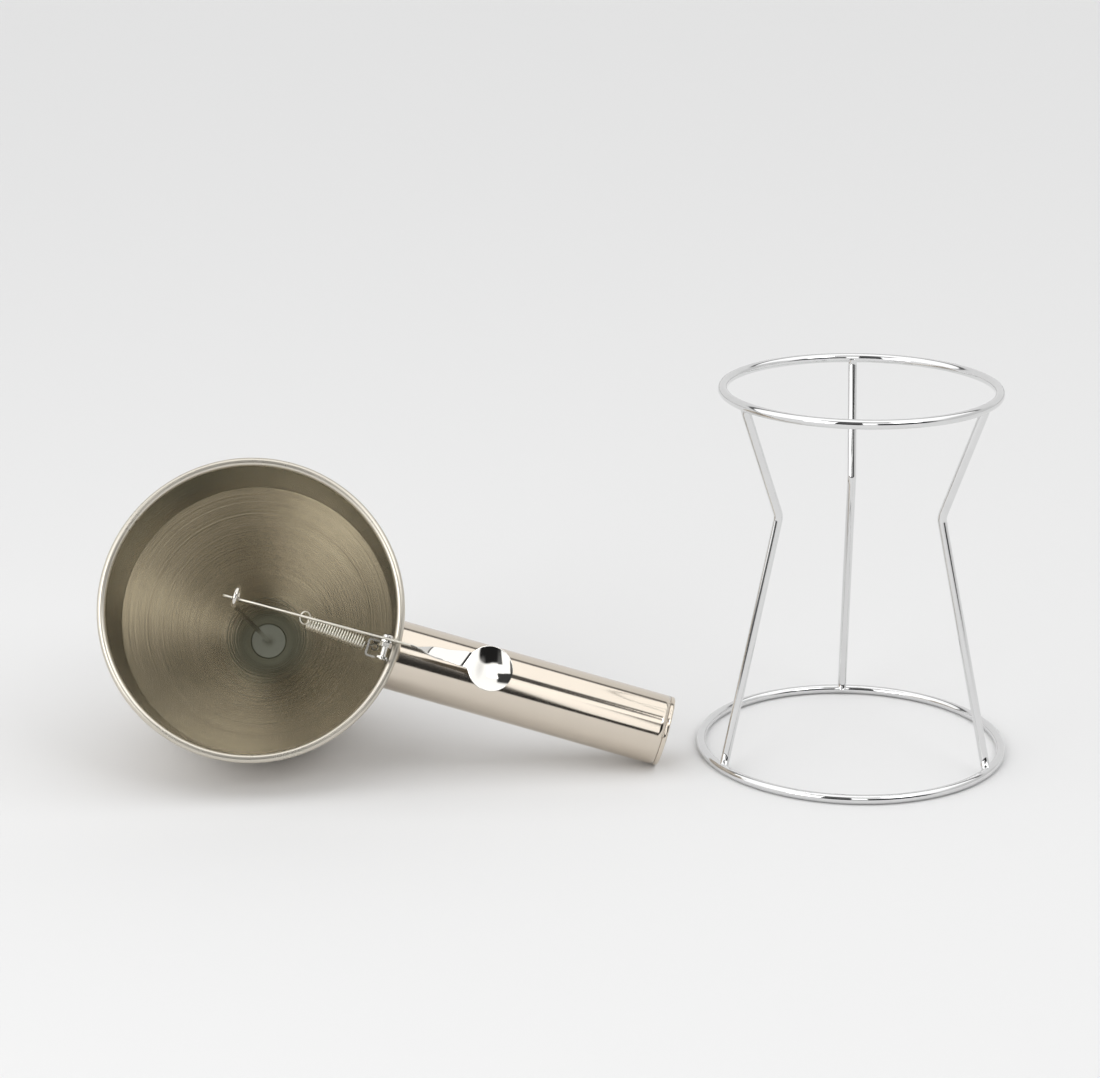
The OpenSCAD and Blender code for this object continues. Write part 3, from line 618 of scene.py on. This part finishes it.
def dip(points):
    """Lean the lever about its pivot, inner arm down, and move it to the pivot."""
    points = np.asarray(points)
    c, s = math.cos(DIP), math.sin(DIP)
    return np.stack([points[..., 0] * c - points[..., 2] * s, points[..., 1],
                     points[..., 0] * s + points[..., 2] * c], axis=-1) + PIVOT


print("lever", round((tip_reach + pad_end) / MM, 1), "mm along its sheet")

# %% Lever surface
tip_round = TIP_H / 2 * (1 - np.cos(np.linspace(0.05, np.pi / 2, 10)))
marks = [TWIST_START, CREASE_AT - CREASE_HALF, CREASE_AT + CREASE_HALF,
         FOLD_AT - FOLD_HALF, FOLD_AT + FOLD_HALF]
to_pad = pad_end - 0.01 * MM - marks[-1]
reach = np.concatenate(
    [tip_round - tip_reach, np.linspace(TIP_H / 2 - tip_reach, marks[0], 80)[1:]]
    + [np.linspace(a, b, n)[1:] for a, b, n in zip(marks, marks[1:], (50, 10, 20, 18))]
    + [marks[-1] + to_pad * np.sin(np.linspace(0, np.pi / 2, 110))[1:]])
v = np.sin(np.linspace(-np.pi / 2, np.pi / 2, ACROSS))
v = np.concatenate([v, v[-2:0:-1]])
face = np.repeat([1.0, -1.0], [ACROSS, ACROSS - 2])
lean = (math.tan(SLANT) * ramp(reach, CREASE_AT, FOLD_AT - FOLD_HALF)
        * (1 - ramp(reach, FOLD_AT + FOLD_HALF, PAD_REACH)))
sheet_x = reach[:, None] + v * (half_width(reach) * lean)[:, None]
half = half_width(sheet_x)
over = v * half
inset = np.clip((half - np.abs(over)) / EDGE, 0, 1)
dished = np.maximum(0, 1 - ((sheet_x - PAD_REACH) ** 2 + over ** 2) / PAD_R ** 2)
up = (face * STRIP_T / 2 * np.sqrt(1 - (1 - inset) ** 2)
      - PAD_DISH * dished * ramp(sheet_x, FOLD_AT, PAD_REACH))
sheet = fold(np.stack([sheet_x, over, up], axis=-1), FOLD_AT, SLANT, FOLD_HALF, FOLD)
sheet = fold(sheet, CREASE_AT, 0.0, CREASE_HALF, CREASE)
x, y, z = np.moveaxis(sheet, -1, 0)
turned = TWIST * ramp(x, TWIST_START, TWIST_END)
strip = np.stack([x, y * np.sin(turned) + z * np.cos(turned),
                  z * np.sin(turned) - y * np.cos(turned)], axis=-1)
lever_strip = skin("lever_strip", seat(dip(strip)), close_v=True, caps=True)
finish(lever_strip, lever_steel, "lever", "lever_steel", "lever")
lever_strip.data.materials.append(lever_underside_painted_shade)
lever_strip.data.materials.append(lever_bar)
# past the rim, the underside's faces take the painted shade; the bar and the end caps take
# lever_bar
past_rim = np.repeat(reach[1:] > TWIST_START, len(v))
under = np.tile(np.arange(len(v)) >= ACROSS, len(reach) - 1)
metal = np.concatenate([np.where(past_rim, np.where(under, 1, 0), 2), np.full(2 * len(v), 2)])
lever_strip.data.polygons.foreach_set("material_index", metal.astype(np.int32))


# %% [markdown]
# The pivot screw and the spring's hook go through round holes. A hole through a grid is
# simplest as a cut: a short rod is taken away with a Boolean modifier, which is applied, and
# edges sharper than 40 degrees are marked so that the flat sides still shade flat.

# %% Lever holes
def cut_round(obj, middle, radius, half_length):
    """Cut a hole across the lever, along the funnel's y, through a point."""
    rod = round_axis([(radius, half_length), (radius, -half_length)], 48)
    rod = middle + np.swapaxes(rod, 0, 1)[..., [0, 2, 1]]
    cutter = skin("cutter", seat(rod), close_v=True, caps=True)
    cut = obj.modifiers.new("hole", "BOOLEAN")
    cut.operation, cut.object, cut.solver = "DIFFERENCE", cutter, "EXACT"
    bpy.context.view_layer.update()
    whole = obj.evaluated_get(bpy.context.evaluated_depsgraph_get())
    mesh = bpy.data.meshes.new_from_object(whole)
    obj.modifiers.clear()
    obj.data = mesh
    mesh.set_sharp_from_angle(angle=math.radians(40))
    bpy.data.objects.remove(cutter)


HOOK_HOLE_R, PIVOT_HOLE_R = 0.85 * MM, 1.55 * MM
hook_hole = np.array([HOOK_X, PIVOT[1], PIVOT[2] - (PIVOT[0] - HOOK_X) * math.tan(DIP)
                      - HOOK_LOW / math.cos(DIP)])
before = len(lever_strip.data.polygons)
cut_round(lever_strip, hook_hole, HOOK_HOLE_R, 2 * STRIP_T)
cut_round(lever_strip, PIVOT, PIVOT_HOLE_R, 2 * STRIP_T)
print("holes cut:", before, "to", len(lever_strip.data.polygons), "faces")

# %% [markdown]
# ## The plunger
# A wire rod leans from the outlet to the lever's tip, where its end is bent into an eye that
# hangs on the tip. Its foot is set in a conical stopper.

# %% Rod and eye
ROD_R, EYE_R = 1.25 * MM, 4.5 * MM
SEAT_GAP = 0.25 * MM
STOPPER_R = 9.4 * MM
FOOT_IN, AIM_IN, EYE_SWEEP = 3 * MM, 7 * MM, 285
stopper_top = -BAND - (SHOULDER_R - STOPPER_R - SEAT_GAP / math.cos(CONE)) / math.tan(CONE)
eye_z = PIVOT[2] - (PIVOT[0] + EYE_X) * math.tan(DIP)
foot = np.array([0, 0, stopper_top - FOOT_IN])
head = np.array([-EYE_X, 0, eye_z])
rod_dir = head - np.array([0, 0, stopper_top - AIM_IN])
rod_dir /= np.linalg.norm(rod_dir)
swing = np.radians(np.linspace(180, 180 - EYE_SWEEP, 60))
loop = (head + np.array([0, EYE_R, 0])
        + EYE_R * np.cos(swing)[:, None] * np.array([0, 1.0, 0])
        + EYE_R * np.sin(swing)[:, None] * rod_dir)
rod_path = np.vstack([foot + (head - foot) * np.linspace(0, 1, 50)[:-1, None], loop])
finish(skin("rod_wire", seat(wire(rod_path, ROD_R, 24)), close_v=True, caps=True),
       rod_steel, "plunger", "rod_steel", "plunger_rod")

# %% Stopper
PILOT_LEN, PILOT_SIDE, PILOT_TAPER = 5 * MM, 4 * MM, 1 * MM
NEAR_AXIS = 0.05 * MM  # the profile stops this far short of the axis
gap_r = SEAT_GAP / math.cos(CONE)
pilot_r = BORE_R - SEAT_GAP
pilot_top = -CONE_END + (pilot_r + gap_r - BORE_R) / math.tan(CONE)
stopper_profile = np.vstack([
    [(NEAR_AXIS, pilot_top - PILOT_LEN), (pilot_r - PILOT_TAPER, pilot_top - PILOT_LEN)],
    [(pilot_r, pilot_top - PILOT_SIDE), (pilot_r, pilot_top)],
    stretch((pilot_r, pilot_top), (STOPPER_R, stopper_top), 14)[1:],
    [(STOPPER_R - 0.02 * MM, stopper_top - 0.25 * MM)],
    arc((STOPPER_R - 0.35 * MM, stopper_top - 0.3 * MM), 0.3 * MM, 20, 90, 6),
    [(STOPPER_R * 0.5, stopper_top), (NEAR_AXIS, stopper_top)]])
finish(skin("stopper_plug", seat(round_axis(stopper_profile, SMALL_TURNS)),
            close_u=True, close_v=True),
       stopper_grey, "plunger", "stopper_grey", "stopper")

# %% [markdown]
# ## The return spring
# A close-wound coil pulls the lever's inner arm down. One wire makes a full loop through the
# lever's hole, the coil, and a small loop behind the bracket's web. The path is a list of
# stretches, and `bridge` joins two of them with a smooth cubic.

# %% Spring path
SPRING_R, COIL_R, TURNS, PER_TURN = 0.4 * MM, 3.1 * MM, 22, 28
HOOK_SLOPE = math.radians(40)
HOOK_LEAD, COIL_SHIFT, COIL_LEAD = -1.3 * MM, 1.3 * MM, 2.2 * MM
LOOP_R, LOOP_GAP = 1.5 * MM, 1.1 * MM
WEB_X, WEB_IN, WEB_DROP, COIL_DROP = 59 * MM, 2.6 * MM, 13 * MM, 0.5 * MM
HOOK_START, HOOK_END, COIL_START, LOOP_TURN = 520, 225, 60, 330  # degrees
hook_way = np.array([math.cos(HOOK_SLOPE), 0, -math.sin(HOOK_SLOPE)])
coil_from = (hook_hole + 2 * COIL_R * hook_way
             + np.array([HOOK_LEAD, -COIL_SHIFT, -COIL_R - COIL_DROP]))
bracket_side = PIVOT[1] - STRIP_T / 2 - 0.2 * MM
web_hole = np.array([WEB_X, bracket_side - WEB_IN, -WEB_DROP])
way = (web_hole - coil_from) / np.linalg.norm(web_hole - coil_from)
coil_len = np.linalg.norm(web_hole - coil_from) - COIL_LEAD
side_way = np.cross([0, 0, 1], way)
side_way /= np.linalg.norm(side_way)
up_way = np.cross(way, side_way)


def on_spring(along_it, beside, above):
    """Points given along, beside and above the coil's line, in funnel coordinates."""
    return (coil_from + np.multiply.outer(along_it, way) + np.multiply.outer(beside, side_way)
            + np.multiply.outer(above, up_way))


def bridge(before, after, count, pull=0.5):
    """Points between two stretches: a cubic that leaves and arrives in their directions."""
    p, q = before[-1], after[0]
    size = pull * np.linalg.norm(q - p) * 2
    d = (before[-1] - before[-2]) / np.linalg.norm(before[-1] - before[-2]) * size
    e = (after[1] - after[0]) / np.linalg.norm(after[1] - after[0]) * size
    t = np.linspace(0, 1, count + 2)[1:-1, None]
    return ((2 * t ** 3 - 3 * t ** 2 + 1) * p + (t ** 3 - 2 * t ** 2 + t) * d
            + (3 * t ** 2 - 2 * t ** 3) * q + (t ** 3 - t ** 2) * e)


a = np.radians(np.linspace(HOOK_START, HOOK_END, 60))
hook = (hook_hole + COIL_R * np.multiply.outer(1 - np.cos(a), hook_way)
        + np.multiply.outer(COIL_R * np.sin(a), [0, 1.0, 0]))
t = np.linspace(0, 1, PER_TURN * TURNS)
a = np.radians(COIL_START - 360 * (TURNS - 0.1) * t)
coil = on_spring(coil_len * t, COIL_R * np.cos(a), COIL_R * np.sin(a))
a = np.radians(180 - LOOP_TURN * np.linspace(0, 1, 40))
loop_mid = coil_len + COIL_LEAD + 1.0 * MM + LOOP_GAP + LOOP_R
loop = on_spring(loop_mid + LOOP_R * np.cos(a), LOOP_R * np.sin(a), 0 * a)
shank = on_spring(coil_len + COIL_LEAD * np.array([0.85, 1.0, 1.6]), np.zeros(3), np.zeros(3))
spring_path = np.vstack([hook, bridge(hook, coil, 8), coil, bridge(coil, shank, 14, 0.6), shank,
                         bridge(shank, loop, 8, 0.3), loop])
print("spring", round(coil_len / MM, 1), "mm of coil,", len(spring_path), "points")

# %% Spring
spring = skin("coil_spring", seat(wire(spring_path, SPRING_R, 12)), close_v=True, caps=True)
spring.data.materials.append(spring_steel)
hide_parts("return_spring")
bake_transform(spring)
print("spring", len(spring.data.polygons), "faces")

# %% [markdown]
# ## The stand
# Two rings of thick wire and three bent legs, welded together and then plated. The rings
# are tori, and a leg is one wire along straights joined by an arc.

# %% Stand sizes
RING_R, LEG_R = 2.375 * MM, 2.25 * MM
TOP_R, LOW_R, STAND_H = 67.5 * MM, 76 * MM, 185 * MM
WAIST_R, WAIST_H, BEND = 45.7 * MM, 126.6 * MM, 8 * MM
RING_STEPS, WIRE_SIDES = 300, 32
low_corner, high_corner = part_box("stand_bottom_ring")
stand_mid = np.array([(low_corner.x + high_corner.x) / 2, (low_corner.y + high_corner.y) / 2, 0])
print("stand axis at", stand_mid.round(4))


def ring(name, radius, height, node):
    """A torus: a circle of wire carried round the stand's axis."""
    a = np.linspace(0, 2 * np.pi, RING_STEPS, endpoint=False)
    path = np.stack([radius * np.cos(a), radius * np.sin(a), height + 0 * a], axis=1)
    finish(skin(name, stand_mid + wire(path, RING_R, WIRE_SIDES, closed=True), close_u=True,
                close_v=True), chrome, "stand", "stand_chrome", node)


ring("top_ring", TOP_R, RING_R + STAND_H, "stand_top_ring")
ring("bottom_ring", LOW_R, RING_R, "stand_bottom_ring")


# %% Stand legs
def leg(name, degrees, node):
    """Straight, bend, straight: the bend is an arc that touches both straights."""
    foot = np.array([LOW_R - RING_R / 2, RING_R * 1.5])
    waist = np.array([WAIST_R, RING_R + WAIST_H])
    head = np.array([TOP_R - RING_R / 2, RING_R / 2 + STAND_H])
    bend = corner(foot, waist, head, BEND, 14)
    line = np.vstack([foot + (bend[0] - foot) * np.linspace(0, 1, 20)[:-1, None], bend,
                      bend[-1] + (head - bend[-1]) * np.linspace(0, 1, 20)[1:, None]])
    a = math.radians(degrees)
    path = np.stack([line[:, 0] * math.cos(a), line[:, 0] * math.sin(a), line[:, 1]], axis=1)
    finish(skin(name, stand_mid + wire(path, LEG_R, WIRE_SIDES), close_v=True, caps=True),
           chrome, "stand", "stand_chrome", node)


leg("leg_back", 87, "stand_leg_back")
leg("leg_left", 207, "stand_leg_left")
leg("leg_right", 327, "stand_leg_right")

# %% [markdown]
# ## Bracket, screw, washer and nut
# These have the CAD's exact shape, but a real stamped or turned part has no sharp edge, and
# the thin bright line along its edges is what tells the eye that it is metal. So each is
# copied, its loose triangles are merged into whole faces, and its edges get a tiny bevel.

# %% Small parts
def softened(name, node, width):
    """A copy of a CAD node with merged faces and bevelled edges."""
    mesh = frame["nodes"][node].data.copy()
    mesh.name = name
    mesh.materials.clear()
    b = bmesh.new()
    b.from_mesh(mesh)
    bmesh.ops.remove_doubles(b, verts=b.verts, dist=0.001 * MM)
    bmesh.ops.dissolve_limit(b, angle_limit=math.radians(1), verts=b.verts, edges=b.edges)
    b.to_mesh(mesh)
    b.free()
    copy = bpy.data.objects.new(name, mesh)
    bpy.context.scene.collection.objects.link(copy)
    mesh.polygons.foreach_set("use_smooth", np.ones(len(mesh.polygons), bool))
    mesh.set_sharp_from_angle(angle=math.radians(35))
    edge = copy.modifiers.new("edge", "BEVEL")
    edge.width, edge.segments, edge.limit_method = width, 2, "ANGLE"
    edge.angle_limit, edge.harden_normals = math.radians(40), True
    return copy


for name, node, width in (("bracket", "pivot_bracket", 0.12), ("screw", "pivot_screw", 0.15),
                          ("washer", "pivot_washer", 0.08), ("nut", "pivot_nut", 0.2)):
    slot = "bracket_steel" if name == "bracket" else "fastener_steel"
    finish(softened(name, node, width * MM),
           bracket_edge if name == "bracket" else small_steel, "funnel", slot, node)

# the sides of the bracket's sheet take the painted shade; its edges keep the bright steel
SHEET_SIDE = 0.6  # largest |cosine| between a side face's normal and the funnel's axis
bracket = bpy.data.objects["bracket"].data
bracket.materials.append(bracket_steel)
facing = np.zeros(3 * len(bracket.polygons))
bracket.polygons.foreach_get("normal", facing)
painted_shade_side = np.abs(facing.reshape(-1, 3) @ axis) < SHEET_SIDE
bracket.polygons.foreach_set("material_index", painted_shade_side.astype(np.int32))
print("bracket faces on the sheet's sides:", int(painted_shade_side.sum()))

weld = frame["nodes"]["handle_weld"]
weld.data.materials.clear()
weld.data.materials.append(handle_steel)
print("small parts painted")

# %% [markdown]
# ## The studio
# Polished metal shows its surroundings, so the light is half of the finish. The handle is a
# mirror rolled into a tube: each height on it shows one direction, and the bands of light
# and dark across it tell how the studio stood. There are soft lights low in front, a gap, a
# broad light overhead, a seam, and a grey wall behind. The world draws what is far away by
# the direction's angle, from the horizon in front, over the top, to the horizon behind. The
# low front lights are lamps of real size and place, because how much of each is mirrored
# depends on where a piece stands.

# %% World
world = bpy.data.worlds.new("studio")
bpy.context.scene.world = world
world.use_nodes = True
sky = Finish.__new__(Finish)
sky.tree = world.node_tree
split = sky.node("ShaderNodeSeparateXYZ", {},
                 {0: sky.node("ShaderNodeTexCoord").outputs["Generated"]})
side, toward, height = (Val(sky, split.outputs[k]) for k in range(3))
sweep = height.math("ARCTAN2", toward * -1.0) * (1 / math.pi)
LIGHT_LEVEL = 1.4


def bands(stops_at):
    """A grey level for each angle of the sweep, as a colour ramp."""
    node = sky.node("ShaderNodeValToRGB", {}, {"Fac": sweep})
    stops = node.color_ramp.elements
    while len(stops) < len(stops_at):
        stops.new(0.5)
    for stop, (degrees, level) in zip(stops, stops_at):
        stop.position = degrees / 180
    for stop, (degrees, level) in zip(stops, stops_at):
        stop.color = (level, level, level, 1)
    return node.outputs[0]


BEHIND = [(118, 0.98), (120, 0.60), (121, 0.10), (127, 0.10), (131, 0.52), (135, 0.60),
          (180, 0.58)]
middle = bands([(0, 0.02), (7, 0.02), (16, 0.03), (40, 0.14), (48, 0.04), (62, 0.04),
                (65, 0.98)] + BEHIND)
right = bands([(0, 0.02), (6, 0.012), (34, 0.012), (37, 1.0), (62, 0.95), (65, 0.98)] + BEHIND)
left = bands([(0, 0.05), (4, 0.12), (9, 1.0), (60, 1.0), (65, 0.98)] + BEHIND)


def blend_of(factor, first, second):
    node = sky.node("ShaderNodeMix", {"data_type": "RGBA"}, {0: factor, 6: first})
    sky.feed(node.inputs[7], second)
    return node.outputs[2]


to_left = (side * -1.0).ramp(0.40, 0.55)
far_right = side.ramp(0.72, 0.9)
to_right = side.ramp(0.30, 0.35)
front = blend_of(to_right, blend_of(to_left, middle, left), right)
walls = blend_of(far_right, front, (0.5, 0.5, 0.5, 1))
seen = sky.node("ShaderNodeLightPath").outputs["Is Camera Ray"]
PALE = 0.86 / LIGHT_LEVEL
background = sky.tree.nodes["Background"]
sky.feed(background.inputs["Color"], blend_of(Val(sky, seen), walls, (PALE, PALE, PALE, 1)))
background.inputs["Strength"].default_value = LIGHT_LEVEL
print("stops in the bands behind:", len(BEHIND))

# %% [markdown]
# The photographer stands between the low lights, and leaves a dark gap round the camera.
# The bowl looks straight into that gap, so it is dark where it faces the camera, and its
# rings fan the side lights out into a bright lobe on either side. The lights on the right
# leave a dark place under them, which the thumb pad and the stand's wires show.

# %% The low front lights
# each light: from x, to x, lowest z, highest z, and its level
LAMP_Y = -1.26
LAMPS = {"left_light": (-1.35, -0.45, 0.23, 1.40, 1.6),
         "near_light": (0.05, 0.295, 0.20, 1.42, 0.95),
         "right_light": (0.295, 0.65, 0.95, 1.45, 0.95),
         "far_right_light": (0.65, 1.40, 1.05, 1.90, 1.9)}
for lamp_name, (lamp_from, lamp_to, low, high, level) in LAMPS.items():
    lamp = bpy.data.objects.new(lamp_name, bpy.data.lights.new(lamp_name, "AREA"))
    lamp.data.shape = "RECTANGLE"
    lamp.data.size, lamp.data.size_y = lamp_to - lamp_from, high - low
    lamp.data.energy = level * LIGHT_LEVEL * math.pi * lamp.data.size * lamp.data.size_y
    lamp.location = ((lamp_from + lamp_to) / 2, LAMP_Y, (low + high) / 2)
    lamp.rotation_euler = (math.pi / 2, 0, 0)
    lamp.visible_camera = False
    bpy.context.scene.collection.objects.link(lamp)
    print(lamp.name, round(lamp.data.size, 2), "by", round(lamp.data.size_y, 2), "m")

# %% Floor
FLOOR, FLOOR_GREY = 6.0, 0.79
floor = skin("studio_floor", [[(-FLOOR, -FLOOR, 0), (-FLOOR, FLOOR, 0)],
                              [(FLOOR, -FLOOR, 0), (FLOOR, FLOOR, 0)]])
pale = Finish("pale_floor", Roughness=0.9,
              Base_Color=(FLOOR_GREY, FLOOR_GREY, FLOOR_GREY, 1))
pale.shader.inputs["Specular IOR Level"].default_value = 0.0
floor.data.materials.append(pale.material)
print("floor", 2 * FLOOR, "m square")

# %% [markdown]
# ## Close
# The view transform stays plain, so a colour renders about as it is written.

# %% The view transform
bpy.context.scene.view_settings.view_transform = "Standard"
